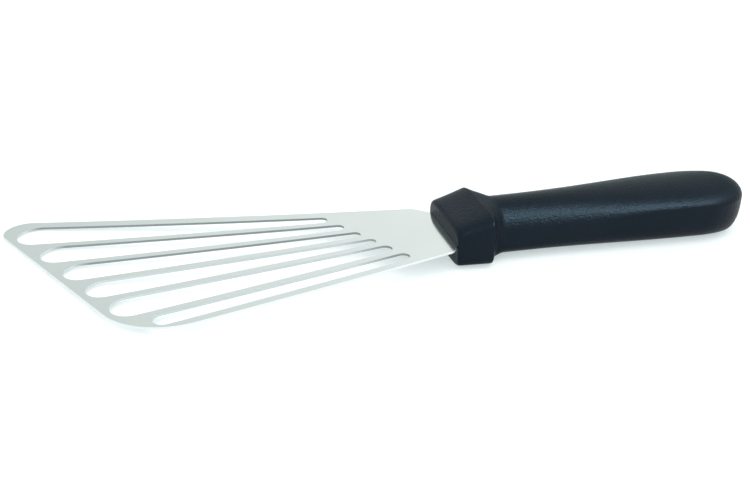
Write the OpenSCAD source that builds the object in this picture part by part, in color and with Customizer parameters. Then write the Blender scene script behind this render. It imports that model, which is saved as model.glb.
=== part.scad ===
// Fish spatula: one slotted sheet steel blade with its tang, and one moulded handle.
// Millimetres, Z up, resting on the plane z = 0 as it lies on a table.
// The blade points to -X and the handle to +X. The origin is on the table, under the middle
// of the bolster. "Far" is +Y and "near" is -Y. All lengths along the tool are counted from
// the handle's front face, which stands half a bolster before the origin.

/* [Blade outline] */
// Handle face to the slanted front edge, along the centre line
blade_len = 145.4; // [125:0.1:170]
// Slant of the front edge, the far side reaching further
front_slant = 26; // [5:0.5:30]
// Far long edge: distance from the centre line at the handle face, if carried on to it
far_edge_y = 21.7; // [20:0.1:25]
// Far long edge: angle it spreads outward
far_flare = 14.1; // [12:0.1:15]
// Near long edge: distance from the centre line at the handle face, if carried on to it
near_edge_y = 20.1; // [19:0.1:22]
// Near long edge: angle it spreads outward
near_flare = 12.9; // [12:0.1:14.5]
// Rounding of the pointed far front corner
far_corner_r = 9; // [5:0.5:13]
// Rounding of the blunt near front corner
near_corner_r = 27; // [16:1:30]

/* [Blade shoulders] */
// Handle face to the far shoulder corner
far_shoulder = 6.2; // [4:0.2:12]
// Rounding of the far shoulder
far_shoulder_r = 2.6; // [1:0.2:5]
// Handle face to the near shoulder corner
near_shoulder = 2.2; // [1.6:0.1:5]
// Rounding of the near shoulder
near_shoulder_r = 4; // [1:0.2:5]
// Half width of the steel where it enters the handle
entry_half_w = 16.2; // [14:0.1:16.6]

/* [Slots and bars] */
// Rim left along the far long edge
far_rim = 4.9; // [3:0.1:6]
// Rim left along the near long edge
near_rim = 3.5; // [3:0.1:5]
// Rim left along the front edge
front_rim = 2.6; // [2.5:0.1:6]
// Width of the five bars between the slots
bar_w = 3.3; // [2:0.1:4]
// Bar nearest the far rim: distance from the centre line at the handle face
bar_start_y = 14.15; // [13.5:0.05:14.6]
// Bar nearest the far rim: angle it spreads outward
bar_start_angle = 8.4; // [8:0.1:8.8]
// Step from bar to bar at the handle face
bar_step = 5.42; // [5.2:0.02:5.6]
// Angle step from bar to bar
bar_fan = 4.95; // [4.8:0.05:5.1]
// Extra step before the last bar, on the near side
last_bar_step = 1.9; // [0:0.1:2.2]
// Handle face to the line where the slots begin, along the centre line
slot_root = 28.4; // [24:0.1:40]
// Slant of the line where the slots begin
slot_root_slant = 27.4; // [18:0.2:30]
// Extra rim in front of the farthest slot
far_slot_back = 0; // [0:0.1:6]
// Extra rim in front of the nearest slot, which clears the blunt corner
near_slot_back = 7.3; // [6:0.1:14]

/* [Sheet and bend] */
// Thickness of the sheet
sheet_t = 0.9; // [0.6:0.1:1.5]
// Height of the middle of the sheet where it leaves the handle
sheet_z = 8.75; // [7:0.05:9.5]
// Downward slope of the blade where it leaves the handle
root_slope = 3.65; // [2:0.05:3.7]
// Radius of the long upward curve of the blade
curve_r = 5500; // [4500:100:9000]

/* [Tang inside the handle] */
// Length of the tang behind the handle's front face
tang_len = 92; // [60:1:105]
// Width of the tang behind its shoulders
tang_w = 21; // [14:0.5:24]
// Width of the tang at its round end
tang_end_w = 13; // [8:0.5:14]
// Length over which the entry narrows to the tang
tang_shoulder = 7; // [4:0.5:12]
// Holes in the tang that the moulded plastic runs through, diameter
tang_hole_d = 7; // [4:0.5:7]
// Handle face to the first tang hole
tang_hole_x = 26; // [20:1:32]
// Step between the tang holes
tang_hole_step = 22; // [14:1:24]
// Clearance all round between the tang and its cavity in the handle
tang_fit = 0.1; // [0.05:0.05:0.3]

/* [Handle bolster] */
// Height of the bolster at its front face
bolster_front_h = 15.2; // [13:0.1:17.5]
// Height of the bolster where it is widest
bolster_wide_h = 19.1; // [17.5:0.1:22]
// Half width of the bolster at its front face
bolster_front = 19.1; // [17.9:0.1:20]
// Half width of the bolster at its widest
bolster_wide = 20.7; // [19.6:0.1:24]
// Handle face to the widest place of the bolster
bolster_wide_x = 14; // [9:0.5:15]
// Rounding of the edges round the front face
face_edge_r = 1.4; // [0.6:0.1:1.5]
// How steeply the bolster narrows behind its widest place
bolster_drop = 3; // [1:0.1:4]
// Softness of the bolster's wide corners
bolster_soft = 1.3; // [0.4:0.1:3]
// How gently the top falls behind the bolster's highest place
top_fall = 0.01; // [0:0.01:0.3]
// Squareness of the bolster's front face
face_square = 5.1; // [4:0.1:12]
// Squareness of the bolster's cross section where it is widest
bolster_square = 5.2; // [4:0.1:12]

/* [Handle grip] */
// Length of the handle
handle_len = 129.2; // [122:0.2:150]
// Half width of the grip at the neck
neck_half_w = 15.2; // [14:0.1:18]
// Half width of the grip near the butt
butt_half_w = 18.6; // [15:0.1:22]
// Height of the grip at the neck
neck_h = 18.1; // [14:0.1:19]
// Height of the grip near the butt
butt_h = 20.8; // [18:0.1:26]
// How far the underside of the neck is lifted off the table
neck_lift = 0.4; // [0.4:0.1:2]
// Softness of the hollow between bolster and neck
neck_soft = 2.3; // [1:0.1:5]
// Softness of the hollow on top, where the bolster runs out into the neck
top_hollow_soft = 2.7; // [0.6:0.1:4]
// Length over which the neck's underside and cross section take over from the bolster's
neck_blend = 5; // [3:0.5:8]
// Handle face to the place where the grip's underside begins to come down again
sole_fall_x = 40; // [34:1:50]
// Handle face to the place where the grip's underside lies on the table again
sole_rest_x = 90; // [70:1:95]
// Handle face to the place where the grip has its full cross section
grip_full_x = 100; // [80:1:110]
// Height of the widest line of the grip at the neck
neck_wide_z = 6.3; // [4:0.1:9]
// Height of the widest line of the grip near the butt
butt_wide_z = 15; // [9:0.1:16]
// Roundness exponent of the grip above its widest line
dome_square = 2; // [1.8:0.1:4]
// Roundness exponent below the widest line at the neck
neck_square = 2.3; // [2:0.1:4]
// Roundness exponent below the widest line near the butt
grip_square = 3.6; // [2:0.1:5]
// Length of the butt's rounding in plan
butt_round = 24; // [18:0.5:36]
// Length of the butt's rounding seen from the side
butt_edge_r = 10.8; // [5:0.2:14]
// Fullness exponent of the butt's roundings
butt_full = 2.1; // [2:0.1:3]

/* [Hidden] */

origin_x = bolster_wide_x / 2;
// The blade's outline runs this far into the handle, and cutters run this far past
inside = 0.6;
over = 10;
slot_n = 6;
tang_holes = 3;
// The underside is cut flat by this much where it lies on the table
land_sink = 0.35;
top_soft = 0.6;
// How fast the grip's own form runs out inside the bolster, so that it leaves the front alone
lead_fall = 1;
// Fineness of the curved sheet and of the handle's skin
sheet_steps = 14;
ring_n = 72;
face_rings = 4;
bolster_rings = 8;
step_rings = 16;
hollow_rings = 8;
grip_rings = 18;
butt_rings = 18;
butt_blunt = 0.3;

// Unit vector and rounding helpers for convex outlines, corners given counter-clockwise
function unit(v) = v / norm(v);
function turn_in(v) = [-v[1], v[0]];
function corner(p, i, d) = p[(i + d + len(p)) % len(p)];
function dir_in(p, i) = unit(corner(p, i, 0) - corner(p, i, -1));
function dir_out(p, i) = unit(corner(p, i, 1) - corner(p, i, 0));
function half_tan(a, b) = norm(b - a) / norm(b + a);
function arc_len(p, r, i) = r[i] * half_tan(dir_in(p, i), dir_out(p, i));
function arc_start(p, r, i) = p[i] - dir_in(p, i) * arc_len(p, r, i);
function arc_end(p, r, i) = p[i] + dir_out(p, i) * arc_len(p, r, i);
function arc_mid(p, r, i) = arc_start(p, r, i) + turn_in(dir_in(p, i)) * r[i];
function arc_points(p, r, i) = r[i] > 0 ? [arc_start(p, r, i), arc_end(p, r, i)] : [p[i]];

module rounded(p, r) {
    polygon([for (i = [0 : len(p) - 1]) each arc_points(p, r, i)]);
    for (i = [0 : len(p) - 1])
        if (r[i] > 0)
            translate(arc_mid(p, r, i)) circle(r = r[i], $fn = 96);
}

// Blade outline
far_slope = tan(far_flare);
near_slope = tan(near_flare);
front_slope = tan(front_slant);
far_tip_y = (far_edge_y + far_slope * blade_len) / (1 - far_slope * front_slope);
near_tip_y = -(near_edge_y + near_slope * blade_len) / (1 + near_slope * front_slope);
outline = [
    [-blade_len - front_slope * far_tip_y, far_tip_y],
    [-blade_len - front_slope * near_tip_y, near_tip_y],
    [-near_shoulder, -near_edge_y - near_slope * near_shoulder],
    [inside, -entry_half_w],
    [inside, entry_half_w],
    [-far_shoulder, far_edge_y + far_slope * far_shoulder]
];
outline_r = [far_corner_r, near_corner_r, near_shoulder_r, 0, 0, far_shoulder_r];

// Bars and slots, each slot lying between the line on its far side and the one on its near side
function bar_y(k) = bar_start_y - bar_step * k - (k == slot_n - 2 ? last_bar_step : 0);
function bar_s(k) = tan(bar_start_angle - bar_fan * k);
function half_over(s, w) = w * sqrt(1 + s * s);
function far_y(k) = k == 0 ? far_edge_y - half_over(far_slope, far_rim)
    : bar_y(k - 1) - half_over(bar_s(k - 1), bar_w / 2);
function far_s(k) = k == 0 ? far_slope : bar_s(k - 1);
function near_y(k) = k == slot_n - 1 ? -near_edge_y + half_over(near_slope, near_rim)
        : bar_y(k) + half_over(bar_s(k), bar_w / 2);
function near_s(k) = k == slot_n - 1 ? -near_slope : bar_s(k);
function far_len(k) = sqrt(1 + pow(far_s(k), 2));
function near_len(k) = sqrt(1 + pow(near_s(k), 2));
function both_len(k) = far_len(k) + near_len(k);
function mid_y0(k) = (far_len(k) * near_y(k) + near_len(k) * far_y(k)) / both_len(k);
function mid_y1(k) = (far_len(k) * near_s(k) + near_len(k) * far_s(k)) / both_len(k);
function rad_0(k) = (far_y(k) - near_y(k)) / both_len(k);
function rad_1(k) = (far_s(k) - near_s(k)) / both_len(k);
function slot_back(k) = front_rim + (k == 0 ? far_slot_back : 0)
    + (k == slot_n - 1 ? near_slot_back : 0);
function tip_d(k) = (blade_len * cos(front_slant) + sin(front_slant) * mid_y0(k) - slot_back(k)
    - rad_0(k)) / (cos(front_slant) - sin(front_slant) * mid_y1(k) + rad_1(k));
function root_d(k) = (slot_root * cos(slot_root_slant) + sin(slot_root_slant) * mid_y0(k)
    + rad_0(k)) / (cos(slot_root_slant) - sin(slot_root_slant) * mid_y1(k) - rad_1(k));
function mid_at(k, d) = [-d, mid_y0(k) + mid_y1(k) * d];
function rad_at(k, d) = rad_0(k) + rad_1(k) * d;

module slot(a, ra, b, rb) {
    way = atan2(b[1] - a[1], b[0] - a[0]);
    lean = acos((ra - rb) / norm(b - a));
    polygon([for (q = [[a, ra, way + lean], [a, ra, way - lean],
                       [b, rb, way - lean], [b, rb, way + lean]])
        q[0] + q[1] * [cos(q[2]), sin(q[2])]]);
    translate(a) circle(r = ra, $fn = 96);
    translate(b) circle(r = rb, $fn = 96);
}

module slots() {
    for (k = [0 : slot_n - 1])
        slot(mid_at(k, tip_d(k)), rad_at(k, tip_d(k)), mid_at(k, root_d(k)), rad_at(k, root_d(k)));
}

// The curved sheet: its side profile follows a very long arc in short flat steps
curve_x = -curve_r * sin(root_slope);
curve_z = sheet_z + curve_r * cos(root_slope);
sheet_reach = -outline[0][0] + over;
function curve_angle(i) = root_slope
    + ((inside + sheet_reach) * i / sheet_steps - sheet_reach) / curve_r * 180 / PI;
function curve_point(i, r) = [curve_x + r * sin(curve_angle(i)), curve_z - r * cos(curve_angle(i))];
module sheet_shell() {
    translate([0, far_tip_y + over, 0])
        rotate([90, 0, 0])
            linear_extrude(height = 2 * (far_tip_y + over))
                polygon(concat(
                    [for (i = [0 : sheet_steps]) curve_point(i, curve_r + sheet_t / 2)],
                    [for (i = [sheet_steps : -1 : 0]) curve_point(i, curve_r - sheet_t / 2)]
                ));
}

// The tang, grown by a clearance for its cavity
tang_end_x = tang_len - tang_end_w / 2;
module tang_plan(grow) {
    polygon([
        [0, -entry_half_w - grow],
        [tang_shoulder, -tang_w / 2 - grow],
        [tang_end_x, -tang_end_w / 2 - grow],
        [tang_end_x, tang_end_w / 2 + grow],
        [tang_shoulder, tang_w / 2 + grow],
        [0, entry_half_w + grow]
    ]);
    translate([tang_end_x, 0]) circle(d = tang_end_w + 2 * grow, $fn = 64);
}

module tang_hole_plan(shrink) {
    for (i = [0 : tang_holes - 1])
        translate([tang_hole_x + i * tang_hole_step, 0])
            circle(d = tang_hole_d - 2 * shrink, $fn = 48);
}

module blade() {
    color([0.78, 0.79, 0.8]) translate([-origin_x, 0, 0]) {
        intersection() {
            sheet_shell();
            translate([0, 0, -over])
                linear_extrude(height = 2 * over + sheet_z)
                    difference() {
                        rounded(outline, outline_r);
                        slots();
                    }
        }
        translate([0, 0, sheet_z - sheet_t / 2])
            linear_extrude(height = sheet_t)
                difference() {
                    tang_plan(0);
                    tang_hole_plan(0);
                }
    }
}

// Handle laws along its length
function ease(a, b, x) = let (t = min(1, max(0, (x - a) / (b - a)))) t * t * (3 - 2 * t);
function soft_min(a, b, s) = (a + b - sqrt((a - b) * (a - b) + s * s)) / 2;
function soft_max(a, b, s) = (a + b + sqrt((a - b) * (a - b) + s * s)) / 2;
function mix(a, b, t) = a + (b - a) * t;
neck_x = bolster_wide_x + (bolster_wide - neck_half_w) / bolster_drop;
butt_x = handle_len - butt_round / 2;
function bolster_w(x) = soft_min(
    bolster_front + (bolster_wide - bolster_front) * x / bolster_wide_x,
    bolster_wide - bolster_drop * (x - bolster_wide_x), bolster_soft);
function lead(x) = lead_fall * max(0, bolster_wide_x - x);
function grip_w(x) = mix(neck_half_w, butt_half_w, ease(neck_x, butt_x, x)) - lead(x);
function full_w(x) = soft_max(bolster_w(x), grip_w(x), neck_soft);
function bolster_z(x) = soft_min(
    bolster_front_h + (bolster_wide_h - bolster_front_h) * x / bolster_wide_x,
    bolster_wide_h - top_fall * (x - bolster_wide_x), top_soft);
function grip_z(x) = mix(neck_h, butt_h, max(0, x - neck_x) / (butt_x - neck_x)) - lead(x);
function top_z(x) = soft_max(bolster_z(x), grip_z(x), top_hollow_soft);
function low_z(x) = neck_lift * neck_part(x) * (1 - ease(sole_fall_x, sole_rest_x, x)) - land_sink;
function neck_part(x) = ease(bolster_wide_x, neck_x + neck_blend, x);
function grip_part(x) = ease(neck_x, grip_full_x, x);
function wide_z(x) = mix((top_z(x) + low_z(x)) / 2, mix(neck_wide_z, butt_wide_z, grip_part(x)),
    neck_part(x));
function bolster_n(x) = mix(face_square, bolster_square, min(1, x / bolster_wide_x));
function upper_n(x) = mix(bolster_n(x), dome_square, neck_part(x));
function lower_n(x) = mix(bolster_n(x), mix(neck_square, grip_square, grip_part(x)), neck_part(x));
function face_in(x) = x < face_edge_r
    ? face_edge_r - sqrt(pow(face_edge_r, 2) - pow(face_edge_r - x, 2)) : 0;
function butt_in(x, l) = let (q = max(0, (x - handle_len + l) / l))
    pow(max(0, 1 - pow(q, butt_full)), 1 / butt_full);
function half_w_at(x) = full_w(x) * butt_in(x, butt_round) - face_in(x);
function upper_h(x) = (top_z(x) - wide_z(x)) * butt_in(x, butt_edge_r) - face_in(x);
function lower_h(x) = (wide_z(x) - low_z(x)) * butt_in(x, butt_edge_r) - face_in(x);

// One half of a ring, above the widest line or below it, at the angle a
function bend(v, e) = sign(v) * pow(abs(v), e);
function half_ring(x, a, n, h) = [x, half_w_at(x) * bend(cos(a), 2 / n),
    max(0, wide_z(x) + h * bend(sin(a), 2 / n))];
function ring_point(x, a) = a < 180 ? half_ring(x, a, upper_n(x), upper_h(x))
    : half_ring(x, a, lower_n(x), lower_h(x));
function ring(x) = [for (j = [0 : ring_n - 1]) ring_point(x, 360 * (j + 0.5) / ring_n)];
step_start = bolster_wide_x - 2 * bolster_soft;
step_end = neck_x + neck_soft;
fine_x = neck_x + 2 * neck_blend;
function even(a, b, n) = [for (i = [1 : n]) mix(a, b, i / n)];
stations = concat(
    [for (i = [0 : face_rings]) face_edge_r * (1 - cos(i * 90 / face_rings))],
    even(face_edge_r, step_start, bolster_rings),
    even(step_start, step_end, step_rings),
    even(step_end, fine_x, hollow_rings),
    even(fine_x, handle_len - butt_round, grip_rings),
    [for (i = [1 : butt_rings])
        handle_len - butt_round * (1 - sin(i * 90 / (butt_rings + butt_blunt)))]
);

module loft(xs) {
    n = len(xs);
    points = [for (x = xs) each ring(x)];
    polyhedron(
        points = points,
        faces = concat(
            [[for (j = [ring_n - 1 : -1 : 0]) j]],
            [for (i = [0 : n - 2], j = [0 : ring_n - 1])
                let (a = i * ring_n + j, b = i * ring_n + (j + 1) % ring_n)
                    each [[a, b, b + ring_n], [a, b + ring_n, a + ring_n]]],
            [[for (j = [0 : ring_n - 1]) (n - 1) * ring_n + j]]
        ),
        convexity = 6
    );
}

module handle() {
    color([0.13, 0.14, 0.17]) translate([-origin_x, 0, 0])
        difference() {
            loft(stations);
            translate([0, 0, sheet_z - sheet_t / 2 - tang_fit])
                linear_extrude(height = sheet_t + 2 * tang_fit)
                    difference() {
                        tang_plan(tang_fit);
                        tang_hole_plan(tang_fit);
                    }
        }
}

blade();
handle();
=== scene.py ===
import bpy
from mathutils import Matrix, Vector

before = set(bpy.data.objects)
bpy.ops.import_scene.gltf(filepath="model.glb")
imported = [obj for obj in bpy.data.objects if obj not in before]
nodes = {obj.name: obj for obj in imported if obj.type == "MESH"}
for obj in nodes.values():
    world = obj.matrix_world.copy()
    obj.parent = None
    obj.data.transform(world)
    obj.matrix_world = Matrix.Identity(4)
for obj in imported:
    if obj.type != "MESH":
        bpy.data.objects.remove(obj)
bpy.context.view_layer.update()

# Camera, fitted to the photograph: 48 mm lens on a 36 mm wide frame, 25 degrees above the table
CAM_POS = (-0.12432, -0.34361, 0.16830)
CAM_ROWS = (
    (0.968693, 0.097449, -0.228337),
    (-0.248120, 0.411111, -0.877168),
    (0.008392, 0.906361, 0.422420),
)
LENS_MM = 48.008
SENSOR_MM = 36.0

# Only the blade's outer edges lie beyond these lines, each a direction and a distance in metres
FRONT_WAY = (-0.89879, -0.43837, 0)
FAR_EDGE = ((0.24362, 0.96987, 0), 0.01594)
NEAR_EDGE = ((0.22325, -0.97476, 0), 0.01485)
FRONT_EDGE = (FRONT_WAY, 0.13448)
POINTED_CORNER = ((-0.77660, 0.63000, 0), 0.17095)
BLUNT_CORNER = ((-0.43130, -0.90221, 0), 0.08889)
ROOT_END = ((1, 0, 0), -0.026)
OUTER = (FAR_EDGE, NEAR_EDGE, FRONT_EDGE, POINTED_CORNER, BLUNT_CORNER, ROOT_END)
EDGE_RUN = 0.0002

# The slots' walls carry painted shade, fading toward -Y, away from the root and at the slots' front
# ends
SHADE_FADE_Y = (0.008, 0.001)
SHADE_FADE_X = (-0.032, -0.048)
SLOT_ENDS, SLOT_ENDS_RUN = 0.122, 0.006

# Colours; a pair holds the two ends of a cloudy surface
STEEL_FACE = ((0.705, 0.735, 0.725, 1), (0.735, 0.765, 0.755, 1))
# Painted shade for the slot walls, deep and faint
WALL_PAINTED_SHADE_DEEP = (0.27, 0.30, 0.30, 1)
WALL_PAINTED_SHADE_FAINT = (0.60, 0.64, 0.64, 1)
# Painted highlight for the blade's outer edge
EDGE_PAINTED_HIGHLIGHT = (0.78, 0.81, 0.81, 1)
PLASTIC = ((0.0078, 0.0122, 0.0178, 1), (0.0103, 0.0150, 0.0215, 1))
PLASTIC_SHEEN = (0.60, 0.84, 1.0, 1)
TABLE = (0.60, 0.59, 0.59, 1)
TABLE_LIFT = (0.88, 1, 1, 1)
WHITE = (1, 1, 1, 1)
ROOM_LEFT = (0.90, 1.0, 0.98, 1)
ROOM_RIGHT = (0.98, 1.0, 0.99, 1)
ROOM_FAR_RIGHT = (0.80, 1.0, 0.97, 1)

# Fineness of the grain, in cells per metre; three numbers stretch it along X, Y and Z
ROLL_GRAIN = (180.0, 5200.0, 5200.0)
CUT_GRAIN = (2400.0, 2400.0, 300.0)
STEEL_CLOUDS = 38.0
PLASTIC_GRAIN = 2400.0
PLASTIC_PITS = 1100.0
PLASTIC_CLOUDS = 30.0

# Gloss and bump; a pair holds the smoothest and the roughest place, bump depth is in metres
STEEL_ROUGH = (0.12, 0.18)
CUT_ROUGHER = 0.25
STEEL_BUMP, STEEL_BUMP_STRENGTH = 0.00002, 0.12
PLASTIC_ROUGH = (0.29, 0.35)
PLASTIC_SPECKLE = (-0.03, 0.03)
PLASTIC_IOR, PLASTIC_SPECULAR = 1.46, 0.062
PIT_SHARE = 2.4
PLASTIC_BUMP, PLASTIC_BUMP_STRENGTH = 0.00009, 0.8

TABLE_HALF = 3.0
TABLE_DROP = 0.0002
TABLE_GLOW = 0.48

# Lamps: name, place, target, size, watts, colour and what they reach
LAMPS = (
    ("softbox", (0.47, -0.24, 1.0), (0.055, 0, 0), (0.18, 0.68), 32.0, (0.74, 0.91, 1.0), "gloss"),
    ("key_lamp", (0.475, -0.24, 1.01), (0.055, 0, 0), (0.75, 0.75), 3.6, (0.86, 0.95, 1.0), "both"),
    ("front_lamp", (-0.5, -0.9, 0.5), (0, 0, 0), (0.5, 0.5), 4.0, (0.9, 0.96, 1.0), "matt"),
)


def add_camera():
    cam = bpy.data.cameras.new("camera")
    cam.sensor_fit = "HORIZONTAL"
    cam.sensor_width = SENSOR_MM
    cam.lens = LENS_MM
    cam.clip_start = 0.01
    cam.clip_end = 50.0
    obj = bpy.data.objects.new("camera", cam)
    bpy.context.scene.collection.objects.link(obj)
    obj.matrix_world = Matrix.Translation(Vector(CAM_POS)) @ Matrix(CAM_ROWS).to_4x4()
    bpy.context.scene.camera = obj


class Nodes:
    """A small helper that builds node trees."""

    def __init__(self, tree):
        self.tree = tree
        tree.nodes.clear()

    def add(self, kind, **settings):
        node = self.tree.nodes.new(kind)
        inputs = settings.pop("inputs", {})
        for key, value in settings.items():
            setattr(node, key, value)
        for key, value in inputs.items():
            self.feed(node.inputs[key], value)
        return node

    def feed(self, socket, value):
        if isinstance(value, bpy.types.NodeSocket):
            self.tree.links.new(value, socket)
        else:
            socket.default_value = value

    def place(self, kind):
        return self.add("ShaderNodeTexCoord").outputs[kind]

    def split(self, vector):
        return self.add("ShaderNodeSeparateXYZ", inputs={"Vector": vector}).outputs

    def math(self, operation, a, b=0.0, clamp=False):
        node = self.add("ShaderNodeMath", operation=operation, use_clamp=clamp)
        self.feed(node.inputs[0], a)
        self.feed(node.inputs[1], b)
        return node.outputs[0]

    def spread(self, value, lo, hi, to_lo=0.0, to_hi=1.0):
        node = self.add("ShaderNodeMapRange")
        for key, item in zip(("Value", "From Min", "From Max", "To Min", "To Max"),
                             (value, lo, hi, to_lo, to_hi)):
            self.feed(node.inputs[key], item)
        return node.outputs["Result"]

    def beyond(self, place, way, limit, run):
        """0 up to the limit along the way, rising to 1 over the run."""
        dot = self.add("ShaderNodeVectorMath", operation="DOT_PRODUCT")
        self.feed(dot.inputs[0], place)
        self.feed(dot.inputs[1], way)
        return self.spread(dot.outputs["Value"], limit, limit + run)

    def mix(self, factor, a, b):
        node = self.add("ShaderNodeMix", data_type="RGBA")
        self.feed(node.inputs["Factor"], factor)
        self.feed(node.inputs["A"], a)
        self.feed(node.inputs["B"], b)
        return node.outputs["Result"]

    def noise(self, vector, scale, detail, rough):
        node = self.add("ShaderNodeTexNoise", inputs={
            "Vector": vector, "Scale": scale, "Detail": detail, "Roughness": rough})
        return node.outputs["Fac"]

    def stretch(self, vector, scale):
        node = self.add("ShaderNodeMapping", inputs={"Vector": vector, "Scale": scale})
        return node.outputs["Vector"]

    def bump(self, height, distance, strength):
        node = self.add("ShaderNodeBump", inputs={
            "Height": height, "Distance": distance, "Strength": strength})
        return node.outputs["Normal"]

    def surface(self, shader):
        self.add("ShaderNodeOutputMaterial", inputs={"Surface": shader.outputs[0]})


def new_material(name):
    mat = bpy.data.materials.new(name)
    mat.use_nodes = True
    return mat, Nodes(mat.node_tree)


def steel_material():
    mat, n = new_material("satin_steel")
    place = n.place("Object")
    facing = n.split(n.add("ShaderNodeNewGeometry").outputs["True Normal"])["Z"]
    # 1 on the cut edges, 0 on the rolled faces
    edge = n.spread(n.math("ABSOLUTE", facing), 0.95, 0.6)
    grain = n.noise(n.stretch(place, ROLL_GRAIN), 1.0, 5.0, 0.6)
    cloud = n.noise(place, STEEL_CLOUDS, 3.0, 0.5)
    tooth = n.noise(n.stretch(place, CUT_GRAIN), 1.0, 2.0, 0.5)
    rolled = n.mix(n.spread(cloud, 0.3, 0.7), *STEEL_FACE)
    # The outer edge carries a painted highlight; the slots' punched walls carry painted shade, fainter
    # in places
    # outer marks the blade's outer edge, which takes the painted highlight
    outer = 0.0
    for way, limit in OUTER:
        outer = n.math("MAXIMUM", outer, n.beyond(place, way, limit, EDGE_RUN))
    at = n.split(place)
    # Painted shade on the slot walls fades toward -Y, away from the root and at the slots' front ends
    shade_fade = n.math("MULTIPLY", n.spread(at["Y"], *SHADE_FADE_Y), n.spread(at["X"], *SHADE_FADE_X))
    shade_fade = n.math("MAXIMUM", shade_fade, n.beyond(place, FRONT_WAY, SLOT_ENDS, SLOT_ENDS_RUN))
    wall_shade = n.mix(shade_fade, WALL_PAINTED_SHADE_DEEP, WALL_PAINTED_SHADE_FAINT)
    colour = n.mix(edge, rolled, n.mix(outer, wall_shade, EDGE_PAINTED_HIGHLIGHT))
    rough = n.math("ADD", n.spread(grain, 0.2, 0.8, *STEEL_ROUGH),
                   n.math("MULTIPLY", edge, CUT_ROUGHER))
    height = n.math("ADD", n.math("MULTIPLY", grain, n.math("SUBTRACT", 1.0, edge)),
                    n.math("MULTIPLY", tooth, edge))
    n.surface(n.add("ShaderNodeBsdfPrincipled", inputs={
        "Base Color": colour, "Metallic": 1.0, "Roughness": rough,
        "Normal": n.bump(height, STEEL_BUMP, STEEL_BUMP_STRENGTH)}))
    return mat


def plastic_material():
    mat, n = new_material("black_plastic")
    place = n.place("Object")
    grain = n.noise(place, PLASTIC_GRAIN, 3.0, 0.6)
    pits = n.noise(place, PLASTIC_PITS, 2.0, 0.5)
    cloud = n.noise(place, PLASTIC_CLOUDS, 3.0, 0.5)
    colour = n.mix(n.spread(cloud, 0.3, 0.7), *PLASTIC)
    rough = n.math("ADD", n.spread(cloud, 0.3, 0.7, *PLASTIC_ROUGH),
                   n.spread(grain, 0.3, 0.7, *PLASTIC_SPECKLE))
    height = n.math("ADD", grain, n.math("MULTIPLY", pits, PIT_SHARE))
    n.surface(n.add("ShaderNodeBsdfPrincipled", inputs={
        "Base Color": colour, "Roughness": rough, "IOR": PLASTIC_IOR,
        "Specular IOR Level": PLASTIC_SPECULAR, "Specular Tint": PLASTIC_SHEEN,
        "Normal": n.bump(height, PLASTIC_BUMP, PLASTIC_BUMP_STRENGTH)}))
    return mat


def dress(node, material):
    obj = nodes[node]
    for slot in obj.material_slots:
        slot.material = material
    if not obj.material_slots:
        obj.data.materials.append(material)


def add_stage():
    """A white table top that keeps the object's shadow."""
    half = TABLE_HALF
    mesh = bpy.data.meshes.new("table")
    mesh.from_pydata([(-half, -half, 0), (half, -half, 0), (half, half, 0), (-half, half, 0)],
                     [], [(0, 1, 2, 3)])
    obj = bpy.data.objects.new("table", mesh)
    obj.location.z = -TABLE_DROP
    bpy.context.scene.collection.objects.link(obj)
    mat, n = new_material("white_table")
    path = n.add("ShaderNodeLightPath")
    matt = n.add("ShaderNodeBsdfDiffuse", inputs={"Color": TABLE})
    seen = n.math("ADD", path.outputs["Is Camera Ray"], path.outputs["Is Glossy Ray"], clamp=True)
    lift = n.add("ShaderNodeEmission", inputs={
        "Color": TABLE_LIFT, "Strength": n.math("MULTIPLY", seen, TABLE_GLOW)})
    both = n.add("ShaderNodeAddShader")
    n.feed(both.inputs[0], matt.outputs[0])
    n.feed(both.inputs[1], lift.outputs[0])
    n.surface(both)
    mesh.materials.append(mat)


def add_world():
    """White to the camera, plain light on the object, and a shaded room for its gloss."""
    world = bpy.data.worlds.new("studio")
    world.use_nodes = True
    bpy.context.scene.world = world
    n = Nodes(world.node_tree)
    path = n.add("ShaderNodeLightPath")
    glossy = path.outputs["Is Glossy Ray"]
    seen = n.math("ADD", path.outputs["Is Camera Ray"], path.outputs["Is Transmission Ray"], clamp=True)
    way = n.split(n.place("Generated"))
    # The room is brighter on the right and at the far side
    side = n.spread(way["X"], -0.35, 0.45)
    room = n.math("MULTIPLY", n.spread(side, 0.0, 1.0, 0.70, 1.20),
                  n.spread(way["Y"], -0.4, 0.4, 0.55, 1.0))
    # The ceiling over the table and the far right corner are dim
    room = n.math("MULTIPLY", room, n.spread(way["Z"], 0.58, 0.85, 1.0, 0.35))
    far_right = n.math("MULTIPLY", n.spread(way["X"], 0.28, 0.42), n.spread(way["Y"], 0.1, 0.5))
    room = n.math("MULTIPLY", room, n.spread(far_right, 0.0, 1.0, 1.0, 0.5))
    level = n.math("ADD", seen, n.math("MULTIPLY", glossy, room))
    other = n.math("SUBTRACT", 1.0, n.math("ADD", seen, glossy, clamp=True))
    room_tint = n.mix(far_right, n.mix(side, ROOM_LEFT, ROOM_RIGHT), ROOM_FAR_RIGHT)
    back = n.add("ShaderNodeBackground", inputs={
        "Color": n.mix(glossy, WHITE, room_tint), "Strength": n.math("ADD", level, other)})
    n.add("ShaderNodeOutputWorld", inputs={"Surface": back.outputs[0]})


def area_lamp(name, place, target, size, power, colour, reach):
    data = bpy.data.lights.new(name, "AREA")
    data.shape = "RECTANGLE"
    data.size, data.size_y = size
    data.energy = power
    data.color = colour
    obj = bpy.data.objects.new(name, data)
    bpy.context.scene.collection.objects.link(obj)
    obj.visible_diffuse = reach != "gloss"
    obj.visible_glossy = reach != "matt"
    obj.location = place
    obj.rotation_euler = (Vector(target) - Vector(place)).to_track_quat("-Z", "Y").to_euler()


add_camera()
dress("blade", steel_material())
dress("handle", plastic_material())
add_stage()
add_world()
for lamp in LAMPS:
    area_lamp(*lamp)

view = bpy.context.scene.view_settings
view.view_transform = "Standard"
